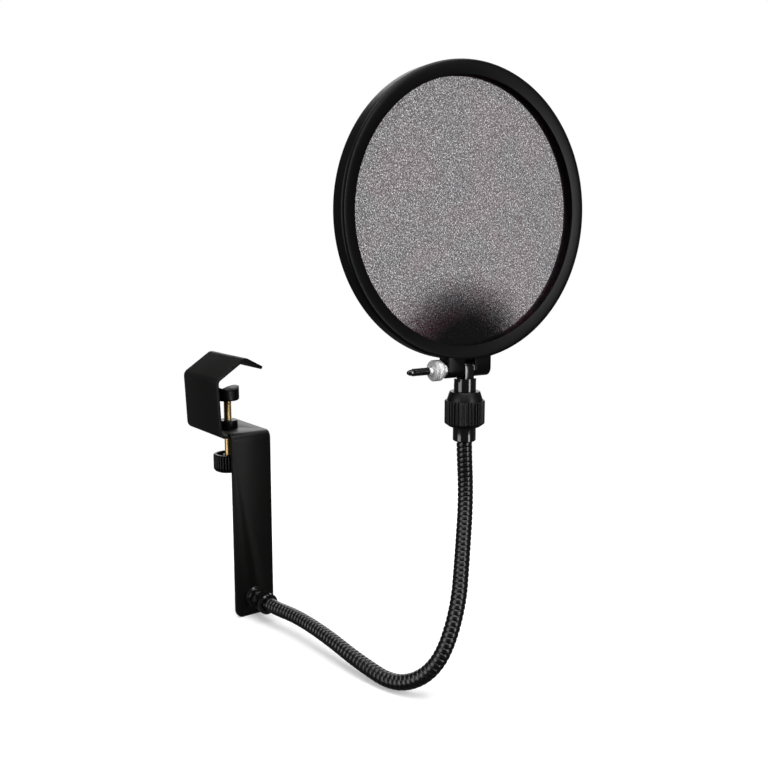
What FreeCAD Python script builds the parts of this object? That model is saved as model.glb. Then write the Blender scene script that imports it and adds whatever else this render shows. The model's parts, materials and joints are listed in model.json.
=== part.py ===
import FreeCAD, Part
import Sketcher
import math
import os

from FreeCAD import Placement, Rotation, Vector

# A pop filter on a gooseneck, with a hook clamp for a microphone stand. Millimetres, +Z up.
# The origin is on the axis of the stand tube that the jaw holds, which runs along Y, straight above
# the clamp screw. The hook opens towards +X, and the leg, the neck's foot and the screen face -Y.

doc = FreeCAD.newDocument("pop_filter")
sheet = doc.addObject("Spreadsheet::Sheet", "Sizes")


class Size:
    """A number together with the spreadsheet formula that it comes from."""

    def __init__(self, value, formula=None):
        self.value = float(value)
        self.formula = formula if formula else repr(float(value))

    def join(self, other, sign, result):
        return Size(result, "(" + self.formula + " " + sign + " " + other.formula + ")")

    def __add__(self, other):
        other = as_size(other)
        return self.join(other, "+", self.value + other.value)

    def __sub__(self, other):
        other = as_size(other)
        return self.join(other, "-", self.value - other.value)

    def __mul__(self, other):
        other = as_size(other)
        return self.join(other, "*", self.value * other.value)

    def __truediv__(self, other):
        other = as_size(other)
        return self.join(other, "/", self.value / other.value)

    def __radd__(self, other):
        return as_size(other) + self

    def __rmul__(self, other):
        return as_size(other) * self

    def __neg__(self):
        return Size(0) - self


def as_size(number):
    return number if isinstance(number, Size) else Size(number)


def sheet_sizes(sizes):
    """Writes each driving dimension to a cell with an alias, and returns them by name."""
    found = {}
    for row, (name, number) in enumerate(sizes.items(), start=1):
        sheet.set("A%d" % row, name)
        sheet.set("B%d" % row, str(number))
        sheet.setAlias("B%d" % row, name)
        found[name] = Size(number, "Sizes." + name)
    doc.recompute()
    return found


# Driving dimensions.
D = sheet_sizes({
    # Clamp bracket, folded from one sheet of steel
    "sheet_gauge": 2.0,
    "bend_outer": 4.6,
    "bend_inner": 2.6,
    "strip_width": 47.0,
    "shelf_depth": 34.4,
    "plate_rise": 34.4,
    "plate_lean": 1.6,
    "slant_run": 19.6,
    "slant_rise": 13.0,
    "lip_run": 12.4,
    "lip_drop": 6.8,
    "leg_width": 26.6,
    "leg_drop": 118.0,
    "leg_face": 24.0,
    "leg_corner": 5.0,
    "relief_width": 2.0,
    "relief_depth": 5.0,
    "jaw_rise": 35.0,
    # Clamp screw
    "screw_diameter": 5.0,
    "screw_span": 49.7,
    "screw_top": -13.5,
    "screw_point": 0.5,
    "bush_diameter": 12.4,
    "bush_rise": 5.0,
    "spigot_diameter": 8.0,
    "flare_diameter": 10.0,
    "flare_rise": 0.8,
    "pad_diameter": 15.0,
    "pad_rise": 8.8,
    "pad_base": -17.3,
    "pad_edge": 0.8,
    "vee_depth": 2.8,
    "vee_shoulder": 0.6,
    "knob_diameter": 19.6,
    "knob_rise": 11.3,
    "knob_base": -63.2,
    "knob_dish": 2.6,
    "knob_rim": 2.2,
    "knob_hub": 8.0,
    "knob_edge": 0.8,
    "knob_flute": 1.2,
    # Foot of the gooseneck
    "foot_height": -141.0,
    "foot_offset": 4.0,
    "foot_screw": 6.0,
    "foot_head_flats": 10.0,
    "foot_head_rise": 4.0,
    "foot_washer": 12.5,
    "foot_washer_gauge": 1.0,
    "foot_flange": 13.0,
    "foot_flange_gauge": 0.8,
    "foot_hex": 11.2,
    "foot_hex_base": 3.4,
    "foot_hex_rise": 4.4,
    "foot_sleeve": 10.4,
    "foot_bead": 13.0,
    "foot_bead_rise": 3.5,
    "foot_reach": 18.0,
    "foot_seat": 4.4,
    # Gooseneck
    "neck_diameter": 8.4,
    "ball_radius": 3.4,
    "ball_setback": 2.4,
    # Collar
    "collar_base": -24.1,
    "end_sleeve": 12.3,
    "end_seat": 6.0,
    "end_floor": 9.6,
    "end_step": 9.0,
    "end_top": 19.6,
    "end_thread": 14.0,
    "collet_base": 20.0,
    "collet_taper": 20.8,
    "collet_top": 23.8,
    "stem_diameter": 11.8,
    "stem_spigot": 8.0,
    "stem_base": 10.0,
    "collar_diameter": 21.6,
    "collar_foot": 16.7,
    "collar_low": 8.0,
    "collar_ribs_low": 9.8,
    "collar_ribs_high": 22.1,
    "collar_cone_base": 19.4,
    "collar_cone_top": 16.2,
    "collar_high": 27.0,
    "collar_flute": 1.3,
    # Tilt pivot
    "pivot_height": 15.2,
    "tongue_gauge": 5.6,
    "tongue_reach": 4.2,
    "shoulder_drop": 5.3,
    "ear_gap": 6.3,
    "ear_width": 10.5,
    "ear_depth": 9.2,
    "bolt_diameter": 4.0,
    "bolt_flats": 7.0,
    "bolt_reach": 23.0,
    "bolt_head": 3.0,
    "bolt_head_out": 0.4,
    "bolt_recess": 2.6,
    "friction_washer": 8.0,
    "friction_gauge": 0.3,
    "washer_diameter": 8.2,
    "washer_gauge": 1.2,
    "washer_edge": 0.2,
    "tilt_nut_diameter": 11.2,
    "tilt_nut_neck": 8.0,
    "tilt_nut_boss": 4.8,
    "tilt_nut_low": 2.8,
    "tilt_nut_high": 7.7,
    "tilt_nut_end": 10.1,
    "tilt_nut_edge": 0.5,
    "tilt_nut_flute": 0.6,
    # Hoop and screens
    "hoop_diameter": 152.4,
    "hoop_wall": 3.2,
    "hoop_depth": 9.6,
    "hoop_front": 4.7,
    "hoop_rise": 80.85,
    "hoop_edge": 1.3,
    "hoop_lip": 3.0,
    "front_lip": 4.6,
    "front_lip_gauge": 1.8,
    "screen_setback": 6.2,
    "screen_gauge": 0.3,
    "ring_gauge": 1.6,
    "ring_opening": 137.2,
})
RUNNING_FIT = 0.05
HEAD_TURN = -5.3
NECK_X = 63.4
NECK_Y = -155.3
KNOB_RIBS = 30
COLLAR_RIBS = 36
TILT_NUT_RIBS = 36

PLANES = {"XY": "XY_Plane", "XZ": "XZ_Plane", "YZ": "YZ_Plane"}


def new_body(label):
    body = doc.addObject("PartDesign::Body", label)
    body.Label = label
    return body


def new_sketch(body, name, plane):
    sketch = body.newObject("Sketcher::SketchObject", name)
    origin_plane = [f for f in body.Origin.OriginFeatures if f.Role == PLANES[plane]][0]
    sketch.AttachmentSupport = [(origin_plane, "")]
    sketch.MapMode = "FlatFace"
    return sketch


def bind(thing, prop, size):
    thing.setExpression(prop, as_size(size).formula)


def pin_point(sketch, item, end, across, up):
    """Holds one sketch point at (across, up) from the sketch's origin, bound to the sheet."""
    for word, size, axis in (("DistanceX", across, -2), ("DistanceY", up, -1)):
        size = as_size(size)
        if abs(size.value) < 1e-9:
            sketch.addConstraint(Sketcher.Constraint("PointOnObject", item, end, axis))
        elif size.value > 0:
            held = sketch.addConstraint(Sketcher.Constraint(word, -1, 1, item, end, size.value))
            sketch.setExpression("Constraints[%d]" % held, size.formula)
        else:
            held = sketch.addConstraint(Sketcher.Constraint(word, item, end, -1, 1, -size.value))
            sketch.setExpression("Constraints[%d]" % held, (-size).formula)


def draw_outline(sketch, points):
    """Draws a closed outline of straight lines through points, each bound to the sheet."""
    count = len(points)
    corners = [Vector(as_size(a).value, as_size(b).value, 0) for a, b in points]
    for i in range(count):
        sketch.addGeometry(Part.LineSegment(corners[i], corners[(i + 1) % count]), False)
    for i in range(count):
        sketch.addConstraint(Sketcher.Constraint("Coincident", i, 2, (i + 1) % count, 1))
    for i, (across, up) in enumerate(points):
        pin_point(sketch, i, 1, across, up)


def draw_circle(sketch, across, up, diameter):
    centre = Vector(as_size(across).value, as_size(up).value, 0)
    item = sketch.addGeometry(Part.Circle(centre, Vector(0, 0, 1), diameter.value / 2), False)
    pin_point(sketch, item, 3, across, up)
    held = sketch.addConstraint(Sketcher.Constraint("Diameter", item, diameter.value))
    sketch.setExpression("Constraints[%d]" % held, diameter.formula)


def pad(body, sketch, length, both_ways=False, flipped=False):
    feature = body.newObject("PartDesign::Pad", sketch.Name + "_pad")
    feature.Profile = sketch
    bind(feature, "Length", length)
    if both_ways:
        feature.SideType = "Symmetric"
    feature.Reversed = flipped
    sketch.Visibility = False
    doc.recompute()
    return feature


def pocket(body, sketch, length=None, both_ways=False, flipped=False):
    """Cuts a sketch out of the body, and stops if nothing was cut."""
    before = body.Shape.Volume
    feature = body.newObject("PartDesign::Pocket", sketch.Name + "_cut")
    feature.Profile = sketch
    if length is None:
        feature.Type = "ThroughAll"
    else:
        bind(feature, "Length", length)
    if both_ways:
        feature.SideType = "Symmetric"
    feature.Reversed = flipped
    doc.recompute()
    if body.Shape.Volume > before - 1e-3:
        raise ValueError(sketch.Name + " cuts nothing")
    return feature


def turned(label, outline):
    """A body of revolution about its own Z: outline is a closed list of (radius, height)."""
    body = new_body(label)
    sketch = new_sketch(body, label + "_profile", "XZ")
    draw_outline(sketch, outline)
    feature = body.newObject("PartDesign::Revolution", label + "_turned")
    feature.Profile = sketch
    feature.ReferenceAxis = (sketch, ["V_Axis"])
    feature.Angle = 360
    doc.recompute()
    return body


def flutes(body, name, count, groove_diameter, pitch_radius):
    """Cuts round-bottomed flutes along the whole height, evenly spaced about the body's Z."""
    sketch = new_sketch(body, name, "XY")
    draw_circle(sketch, pitch_radius, 0, groove_diameter)
    cut = pocket(body, sketch, both_ways=True)
    pattern = body.newObject("PartDesign::PolarPattern", name + "_pattern")
    pattern.Originals = [cut]
    pattern.Axis = (sketch, ["N_Axis"])
    pattern.Angle = 360
    pattern.Occurrences = count
    body.Tip = pattern
    doc.recompute()
    return pattern


def edges_near(shape, tests):
    """Names of the edges whose middle lies within 0.3 mm of each tested coordinate."""
    names = []
    for i, edge in enumerate(shape.Edges, start=1):
        middle = edge.valueAt((edge.FirstParameter + edge.LastParameter) / 2)
        for x, y, z, direction in tests:
            near = all(w is None or abs(c - w) < 0.3 for c, w in zip(middle, (x, y, z)))
            ends = edge.Vertexes
            if not near or len(ends) < 2:
                continue
            along = (ends[1].Point - ends[0].Point).normalize()
            if abs(abs(along.dot(direction)) - 1) < 1e-3:
                names.append("Edge%d" % i)
                break
    return names


def round_edges(body, name, radius, tests):
    base = body.Tip
    names = edges_near(base.Shape, tests)
    if not names:
        raise ValueError(name + " finds no edge")
    feature = body.newObject("PartDesign::Fillet", name)
    feature.Base = (base, names)
    bind(feature, "Radius", radius)
    doc.recompute()
    return feature


ALONG_X = Vector(1, 0, 0)
ALONG_Y = Vector(0, 1, 0)
ALONG_Z = Vector(0, 0, 1)


def bracket():
    """The hook, shelf and leg: one strip of steel sheet, folded and punched."""
    gauge = D["sheet_gauge"]
    far = D["shelf_depth"] / 2
    shelf = -D["jaw_rise"]
    body = new_body("clamp_bracket")

    # The hook's section, seen along Y: outside corners first, then the inside ones at one gauge.
    top = -far - D["plate_lean"]
    apex = top + D["slant_run"]
    crest = shelf + D["plate_rise"] + D["slant_rise"]
    outside = [
        (apex + D["lip_run"], crest - D["lip_drop"]),
        (apex, crest),
        (top, shelf + D["plate_rise"]),
        (-far, shelf - gauge),
        (far, shelf - gauge),
    ]
    inside = offset_inside([(a.value, b.value) for a, b in outside], gauge.value)
    hook = new_sketch(body, "hook_section", "XZ")
    draw_folded_strip(hook, outside, inside, gauge)
    pad(body, hook, D["strip_width"], both_ways=True)

    # The leg folds down from the shelf's edge on the -Y side, flush with the shelf's +X end.
    leg = new_sketch(body, "leg_section", "YZ")
    face = -D["leg_face"]
    foot = shelf - D["leg_drop"]
    draw_outline(leg, [
        (0, shelf), (face, shelf), (face, foot), (face + gauge, foot),
        (face + gauge, shelf - gauge), (0, shelf - gauge),
    ])
    leg_pad = body.newObject("PartDesign::Pad", "leg_pad")
    leg_pad.Profile = leg
    leg_pad.SideType = "Two sides"
    bind(leg_pad, "Length", far)
    bind(leg_pad, "Length2", D["leg_width"] - far)
    doc.recompute()

    relief = new_sketch(body, "bend_relief", "XY")
    side = far - D["leg_width"]
    back = face + D["relief_depth"]
    draw_outline(relief, [
        (side - D["relief_width"], face), (side, face), (side, back), (side - D["relief_width"], back),
    ])
    through_shelf = D["jaw_rise"] + gauge * 2
    pocket(body, relief, through_shelf)

    holes = new_sketch(body, "bush_hole", "XY")
    draw_circle(holes, 0, 0, D["spigot_diameter"])
    pocket(body, holes, through_shelf)
    foot_hole = new_sketch(body, "foot_hole", "XZ")
    draw_circle(foot_hole, D["foot_offset"], D["foot_height"], D["foot_screw"] + 0.2)
    pocket(body, foot_hole, both_ways=True)

    bends_out = [(x.value, None, z.value, ALONG_Y) for x, z in outside[1:4]]
    bends_out.append((None, face.value, shelf.value, ALONG_X))
    round_edges(body, "outer_bends", D["bend_outer"], bends_out)
    bends_in = [(p[0], None, p[1], ALONG_Y) for p in inside[1:4]]
    bends_in.append((None, (face + gauge).value, (shelf - gauge).value, ALONG_X))
    round_edges(body, "inner_bends", D["bend_inner"], bends_in)
    middle_gauge = (face + gauge / 2).value
    round_edges(body, "leg_corners", D["leg_corner"], [
        (far.value, middle_gauge, foot.value, ALONG_Y), (side.value, middle_gauge, foot.value, ALONG_Y),
    ])
    return body


def offset_inside(points, gauge):
    """The same open path moved sideways by gauge, towards the inside of the hook."""
    moved = []
    normals = []
    for (ax, az), (bx, bz) in zip(points, points[1:]):
        run = math.hypot(bx - ax, bz - az)
        normals.append((-(bz - az) / run, (bx - ax) / run))
    for i, (x, z) in enumerate(points):
        n = normals[max(i - 1, 0)]
        m = normals[min(i, len(normals) - 1)]
        scale = gauge / (1 + n[0] * m[0] + n[1] * m[1])
        moved.append((x + (n[0] + m[0]) * scale, z + (n[1] + m[1]) * scale))
    return moved


def draw_folded_strip(sketch, outside, inside, gauge):
    """The section of a folded sheet: the outside path is bound to the sheet, and each inside line
    is parallel to its outside line at one gauge."""
    outer = [Vector(a.value, b.value, 0) for a, b in outside]
    inner = [Vector(a, b, 0) for a, b in inside]
    runs = len(outer) - 1
    for path in (outer, inner):
        for a, b in zip(path, path[1:]):
            sketch.addGeometry(Part.LineSegment(a, b), False)
    start = sketch.addGeometry(Part.LineSegment(outer[0], inner[0]), False)
    end = sketch.addGeometry(Part.LineSegment(outer[-1], inner[-1]), False)
    for i in range(runs - 1):
        sketch.addConstraint(Sketcher.Constraint("Coincident", i, 2, i + 1, 1))
        sketch.addConstraint(Sketcher.Constraint("Coincident", runs + i, 2, runs + i + 1, 1))
    for cap, first, at in ((start, 0, 1), (end, runs - 1, 2)):
        sketch.addConstraint(Sketcher.Constraint("Coincident", cap, 1, first, at))
        sketch.addConstraint(Sketcher.Constraint("Coincident", cap, 2, runs + first, at))
        sketch.addConstraint(Sketcher.Constraint("Perpendicular", cap, first))
    for i, (across, up) in enumerate(outside):
        pin_point(sketch, min(i, runs - 1), 1 if i < runs else 2, across, up)
    for i in range(runs):
        if i:
            sketch.addConstraint(Sketcher.Constraint("Parallel", i, runs + i))
        held = sketch.addConstraint(Sketcher.Constraint("Distance", runs + i, 1, i, gauge.value))
        sketch.setExpression("Constraints[%d]" % held, gauge.formula)


def clamp():
    """Shelf bush, clamp screw, knob and the vee pad that presses on the stand tube."""
    shelf = -D["jaw_rise"]
    radius = D["screw_diameter"] / 2
    bore = radius + RUNNING_FIT

    flare = D["flare_diameter"] / 2
    spigot = D["spigot_diameter"] / 2
    boss = D["bush_diameter"] / 2
    above = D["flare_rise"] + D["sheet_gauge"]
    bush_edge = 0.6
    bush = turned("shelf_bush", [
        (bore, 0), (flare, 0), (flare, D["flare_rise"]), (spigot, D["flare_rise"]), (spigot, above),
        (boss, above), (boss, above + D["bush_rise"] - bush_edge),
        (boss - bush_edge, above + D["bush_rise"]), (bore, above + D["bush_rise"]),
    ])
    bush.Placement.Base = Vector(0, 0, (shelf - above).value)

    point = D["screw_point"]
    screw = turned("clamp_screw", [
        (0, 0), (radius, 0), (radius, D["screw_span"] - point), (radius - point, D["screw_span"]),
        (0, D["screw_span"]),
    ])
    screw.Placement.Base = Vector(0, 0, (D["screw_top"] - D["screw_span"]).value)

    outer = D["knob_diameter"] / 2
    edge = D["knob_edge"]
    rise = D["knob_rise"]
    floor = rise - D["knob_dish"]
    rim = outer - D["knob_rim"]
    hub = D["knob_hub"] / 2
    knob = turned("clamp_knob", [
        (radius, 0), (outer - edge * 2.5, 0), (outer - edge, edge), (outer, edge * 2.5),
        (outer, rise - edge), (outer - edge, rise), (rim, rise), (rim - edge / 2, floor), (hub, floor),
        (hub, rise - edge), (radius, rise - edge),
    ])
    flutes(knob, "knob_flutes", KNOB_RIBS, D["knob_flute"], outer + D["knob_flute"] / 8)
    knob.Placement.Base = Vector(0, 0, D["knob_base"].value)

    pad_radius = D["pad_diameter"] / 2
    pad_edge = D["pad_edge"]
    top = D["pad_rise"]
    socket_slack = 0.3
    socket = D["screw_top"] - D["pad_base"] + socket_slack
    jaw = turned("jaw_pad", [
        (bore, 0), (pad_radius - pad_edge, 0), (pad_radius, pad_edge), (pad_radius, top), (0, top),
        (0, socket), (bore, socket),
    ])
    wide = pad_radius - D["vee_shoulder"]
    vee = new_sketch(jaw, "vee", "XZ")
    draw_outline(vee, [
        (0, top - D["vee_depth"]), (wide, top), (wide, top + 1), (-wide, top + 1), (-wide, top),
    ])
    pocket(jaw, vee, both_ways=True)
    jaw.Placement.Base = Vector(0, 0, D["pad_base"].value)
    return [bush, screw, knob, jaw]


def facing(direction):
    """The rotation that turns Z to a direction."""
    return Rotation(ALONG_Z, Vector(*direction))


def hexagon(name, flats, height):
    """A hexagonal prism with its base at the origin."""
    prism = doc.addObject("Part::Prism", name)
    prism.Polygon = 6
    bind(prism, "Circumradius", flats / math.sqrt(3))
    bind(prism, "Height", height)
    return prism


def cylinder(name, radius, height, base=None):
    shape = doc.addObject("Part::Cylinder", name)
    bind(shape, "Radius", radius)
    bind(shape, "Height", height)
    if base:
        bind(shape, "Placement.Base.z", base)
    return shape


def fuse(name, shapes):
    joined = doc.addObject("Part::MultiFuse", name)
    joined.Shapes = shapes
    joined.Refine = True
    return joined


def cut(name, base, tool):
    left = doc.addObject("Part::Cut", name)
    left.Base = base
    left.Tool = tool
    left.Refine = True
    return left


def foot():
    """What holds the gooseneck to the leg: a hex screw and washer behind, a hex ferrule in front."""
    out = facing((0, -1, 0))
    face = Vector(D["foot_offset"].value, -D["leg_face"].value, D["foot_height"].value)
    back = face + Vector(0, D["sheet_gauge"].value, 0)
    radius = D["foot_screw"] / 2
    thread_in = 3.6
    reach = D["sheet_gauge"] + D["foot_washer_gauge"] + thread_in

    screw = fuse("foot_screw", [
        hexagon("foot_screw_head", D["foot_head_flats"], D["foot_head_rise"]),
        cylinder("foot_screw_shank", radius, reach, D["foot_head_rise"]),
    ])
    start = D["foot_head_rise"] + D["foot_washer_gauge"]
    screw.Placement = Placement(back + Vector(0, start.value, 0), out)

    hole = radius + 0.1
    disc = D["foot_washer"] / 2
    gauge = D["foot_washer_gauge"]
    washer = turned("foot_washer", [(hole, 0), (disc, 0), (disc, gauge), (hole, gauge)])
    washer.Placement = Placement(back + Vector(0, gauge.value, 0), out)

    flange = D["foot_flange"] / 2
    sleeve = D["foot_sleeve"] / 2
    bead = D["foot_bead"] / 2
    end = D["foot_reach"]
    step = end - D["foot_bead_rise"]
    slope = 0.8
    bore = D["neck_diameter"] / 2 + RUNNING_FIT
    shell = turned("foot_sleeve_body", [
        (radius, 0), (flange, 0), (flange, D["foot_flange_gauge"]), (sleeve, D["foot_flange_gauge"] + slope),
        (sleeve, step), (bead - slope, step), (bead, step + slope), (bead, end - slope),
        (bead - slope, end), (bore, end), (bore, D["foot_seat"]), (radius, D["foot_seat"]),
    ])
    hexed = hexagon("foot_hex_blank", D["foot_hex"], D["foot_hex_rise"])
    hexed.Placement.Base = Vector(0, 0, D["foot_hex_base"].value)
    hex_bore = cylinder("foot_hex_bore", bore, D["foot_hex_rise"], D["foot_hex_base"])
    ferrule = fuse("foot_ferrule", [shell, cut("foot_hex_ring", hexed, hex_bore)])
    ferrule.Placement = Placement(face, out)
    return [screw, washer, ferrule]


# The gooseneck's route, from the foot to the collar: the corners that its bends round off.
ROUTE = [
    Vector(4, -28.4, -141), Vector(4, -46, -141), Vector(8.5, -69, -140.5), Vector(9.5, -101, -141.5),
    Vector(10.5, -132, -145.5), Vector(15.5, -160.5, -149.5), Vector(27, -178.5, -136),
    Vector(40.5, -178.5, -108), Vector(54, -166, -82), Vector(66, -154.5, -56),
    Vector(NECK_X, NECK_Y, -28), Vector(NECK_X, NECK_Y, -18.1),
]
BEND_SHARE = 0.8
END_SHARE = 0.5


def link_path(start, corner, finish, share, setback):
    """A straight run, the arc that rounds the corner, and a straight run that stops short."""
    back = start - corner
    ahead = finish - corner
    reach = share * min(back.Length, ahead.Length)
    half_turn = (math.pi - back.getAngle(ahead)) / 2
    radius = reach / math.tan(half_turn)
    back.normalize()
    ahead.normalize()
    bisector = (back + ahead).normalize()
    first = corner + back * reach
    middle = corner + bisector * (radius / math.cos(half_turn) - radius)
    last = corner + ahead * reach
    edges = [
        Part.LineSegment(start, first).toShape(),
        Part.Arc(first, middle, last).toShape(),
        Part.LineSegment(last, finish - ahead * setback).toShape(),
    ]
    return edges, -back, ahead, radius


def neck():
    """The gooseneck as ball-ended links. Each joint is half way along a straight run."""
    pivots = [(a + b) * 0.5 for a, b in zip(ROUTE[1:-2], ROUTE[2:-1])]
    stops = [ROUTE[0]] + pivots + [ROUTE[-1]]
    made = []
    for number, corner in enumerate(ROUTE[1:-1]):
        start, finish = stops[number], stops[number + 1]
        is_end = number in (0, len(pivots))
        setback = 0 if number == len(pivots) else D["ball_setback"].value
        share = END_SHARE if is_end else BEND_SHARE
        edges, heading, leaving, radius = link_path(start, corner, finish, share, setback)
        ring = Part.Wire([Part.Circle(start, heading, D["neck_diameter"].value / 2).toShape()])
        solid = Part.Wire(edges).makePipe(Part.Face(ring))
        length = sum(edge.Length for edge in edges)
        section = math.pi * D["neck_diameter"].value ** 2 / 4
        print("neck_link_%d bend radius %.1f, length %.1f, volume over section and length %.4f" % (
            number, radius, length, solid.Volume / (section * length)))
        if number < len(pivots):
            solid = solid.fuse(Part.makeSphere(D["ball_radius"].value, finish, leaving))
        if number:
            solid = solid.cut(Part.makeSphere(D["ball_radius"].value + RUNNING_FIT, start, heading))
        feature = doc.addObject("Part::Feature", "neck_link_%d" % number)
        feature.Shape = solid
        feature.Placement = Placement()
        feature.Label = "neck_link_%d" % number
        made.append(feature)
    for pivot in pivots:
        print("neck pivot", [round(c, 3) for c in pivot])
    return made


def collar():
    """The swivel at the neck's end: sleeve, split collet, fluted nut and the stem they grip."""
    base = Vector(NECK_X, NECK_Y, D["collar_base"].value)
    sleeve = D["end_sleeve"] / 2
    thread = D["end_thread"] / 2
    stem_radius = D["stem_diameter"] / 2
    spigot = D["stem_spigot"] / 2
    neck_bore = D["neck_diameter"] / 2 + RUNNING_FIT
    edge = 0.5
    step = D["end_step"]
    top = D["end_top"]
    ferrule = turned("neck_ferrule", [
        (neck_bore, 0), (sleeve - edge, 0), (sleeve, edge), (sleeve, step), (thread, step),
        (thread, top - edge), (thread - edge, top), (spigot + RUNNING_FIT, top),
        (spigot + RUNNING_FIT, D["end_floor"]), (0, D["end_floor"]), (0, D["end_seat"]),
        (neck_bore, D["end_seat"]),
    ])
    ferrule.Placement.Base = base

    grip = stem_radius + RUNNING_FIT
    collet_tip = thread - 0.8
    collet = turned("collet", [
        (grip, D["collet_base"]), (thread, D["collet_base"]), (thread, D["collet_taper"]),
        (collet_tip, D["collet_top"]), (grip, D["collet_top"]),
    ])
    beyond = D["collar_diameter"]
    slot_width = Size(0.8)
    slot = new_sketch(collet, "collet_slot", "XZ")
    draw_outline(slot, [(0, top), (beyond, top), (beyond, D["collar_high"]), (0, D["collar_high"])])
    pocket(collet, slot, slot_width, both_ways=True)
    collet.Placement.Base = base

    outer = D["collar_diameter"] / 2
    mouth = stem_radius + 0.1
    slack = 0.1
    nut = turned("collar_nut", [
        (thread + RUNNING_FIT, D["collar_low"]), (D["collar_foot"] / 2, D["collar_low"]),
        (outer, D["collar_ribs_low"]), (outer, D["collar_ribs_high"]),
        (D["collar_cone_base"] / 2, D["collar_ribs_high"]), (D["collar_cone_top"] / 2, D["collar_high"]),
        (mouth, D["collar_high"]), (mouth, D["collet_top"] + slack * 2),
        (collet_tip + RUNNING_FIT, D["collet_top"] + slack),
        (thread + RUNNING_FIT, D["collet_taper"] + slack),
    ])
    flutes(nut, "nut_flutes", COLLAR_RIBS, D["collar_flute"], outer + D["collar_flute"] / 8)
    nut.Placement.Base = base

    # The stem: a round bar with a spigot below, and flats above that leave a tongue for the bolt.
    pivot = D["pivot_height"] - D["collar_base"]
    shoulder = pivot - D["shoulder_drop"]
    reach = D["tongue_reach"]
    crown_top = pivot + reach
    bar_base = top + slack
    stem = turned("pivot_stem", [
        (0, D["stem_base"]), (spigot - edge, D["stem_base"]), (spigot, D["stem_base"] + edge),
        (spigot, bar_base), (stem_radius, bar_base), (stem_radius, crown_top), (0, crown_top),
    ])
    clear = D["stem_diameter"]
    above = crown_top + 1
    for side, name in ((1, "right"), (-1, "left")):
        flat = new_sketch(stem, "tongue_" + name, "XZ")
        inner = D["tongue_gauge"] / 2 * side
        draw_outline(flat, [
            (inner, shoulder), (clear * side, shoulder), (clear * side, above), (inner, above),
        ])
        pocket(stem, flat, both_ways=True)
    facets = 6
    angles = [math.radians(90 * k / facets) for k in range(facets + 1)]
    for side, name in ((1, "back"), (-1, "front")):
        arc = [(reach * side * math.cos(a), pivot + reach * math.sin(a)) for a in angles]
        crown = new_sketch(stem, "tongue_crown_" + name, "YZ")
        draw_outline(crown, arc + [
            (0, above), (clear * side, above), (clear * side, shoulder), (reach * side, shoulder),
        ])
        pocket(stem, crown, both_ways=True)
    bolt_hole = new_sketch(stem, "bolt_hole", "YZ")
    draw_circle(bolt_hole, 0, pivot, D["bolt_diameter"] + 2 * RUNNING_FIT)
    pocket(stem, bolt_hole, both_ways=True)
    stem.Placement = Placement(base, Rotation(ALONG_Z, HEAD_TURN))
    return [ferrule, collet, nut, stem]


def hexagon_corner(number, flats, across, up):
    angle = math.radians(60 * number)
    radius = flats / math.sqrt(3)
    return across + radius * math.cos(angle), up + radius * math.sin(angle)


def hoop():
    """The hoop with its two ears, moulded in one piece. Its Z is the hoop's axis and points back, and
    its Y points down."""
    outer = D["hoop_diameter"] / 2
    inner = outer - D["hoop_wall"]
    depth = D["hoop_depth"]
    seat = D["screen_setback"] + D["screen_gauge"] * 2 + D["ring_gauge"]
    edge = D["hoop_edge"]
    small = edge / 4
    lip = inner - D["hoop_lip"]
    front_lip = inner - D["front_lip"]
    front_gauge = D["front_lip_gauge"]
    body = turned("hoop", [
        (inner, front_gauge), (front_lip, front_gauge), (front_lip, small), (front_lip + small, 0),
        (outer - edge, 0), (outer - edge * 0.4, small * 1.2), (outer, edge),
        (outer, depth - small * 2), (outer - small * 2, depth), (lip, depth), (lip, seat), (inner, seat),
    ])
    gap = D["ear_gap"] / 2
    wide = gap + D["ear_width"]
    rise = D["hoop_rise"]
    middle = D["hoop_front"]
    half = D["ear_depth"] / 2
    root = outer - D["hoop_wall"] * 0.7
    ears = new_sketch(body, "ears", "YZ")
    draw_outline(ears, [
        (root, middle - half), (rise, middle - half), (rise, middle + half), (root, middle + half),
    ])
    pad(body, ears, wide * 2, both_ways=True)
    ends = new_sketch(body, "ear_ends", "YZ")
    draw_circle(ends, rise, middle, D["ear_depth"])
    pad(body, ends, wide * 2, both_ways=True)
    between = new_sketch(body, "ear_gap", "XY")
    below = rise + D["ear_depth"]
    draw_outline(between, [(-gap, outer), (gap, outer), (gap, below), (-gap, below)])
    pocket(body, between, both_ways=True)
    bore = new_sketch(body, "ear_bore", "YZ")
    draw_circle(bore, rise, middle, D["bolt_diameter"] + 2 * RUNNING_FIT)
    pocket(body, bore, both_ways=True)
    recess = new_sketch(body, "bolt_recess", "YZ")
    recess.AttachmentOffset = Placement(Vector(0, 0, (wide - D["bolt_recess"]).value), Rotation())
    flats = D["bolt_flats"] + 2 * RUNNING_FIT
    draw_outline(recess, [hexagon_corner(k, flats, rise, middle) for k in range(6)])
    pocket(body, recess, D["bolt_head"], flipped=True)
    body.Placement = head_place(0, -D["hoop_front"].value, D["hoop_rise"].value, (1, 0, 0), -90)
    return body


def head_place(across, back, up, axis=(0, 0, 1), angle=0):
    """Places a piece from the tilt pivot, in the turned head's own directions."""
    pivot = Placement(Vector(NECK_X, NECK_Y, D["pivot_height"].value), Rotation(ALONG_Z, HEAD_TURN))
    return pivot.multiply(Placement(Vector(across, back, up), Rotation(Vector(*axis), angle)))


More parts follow.
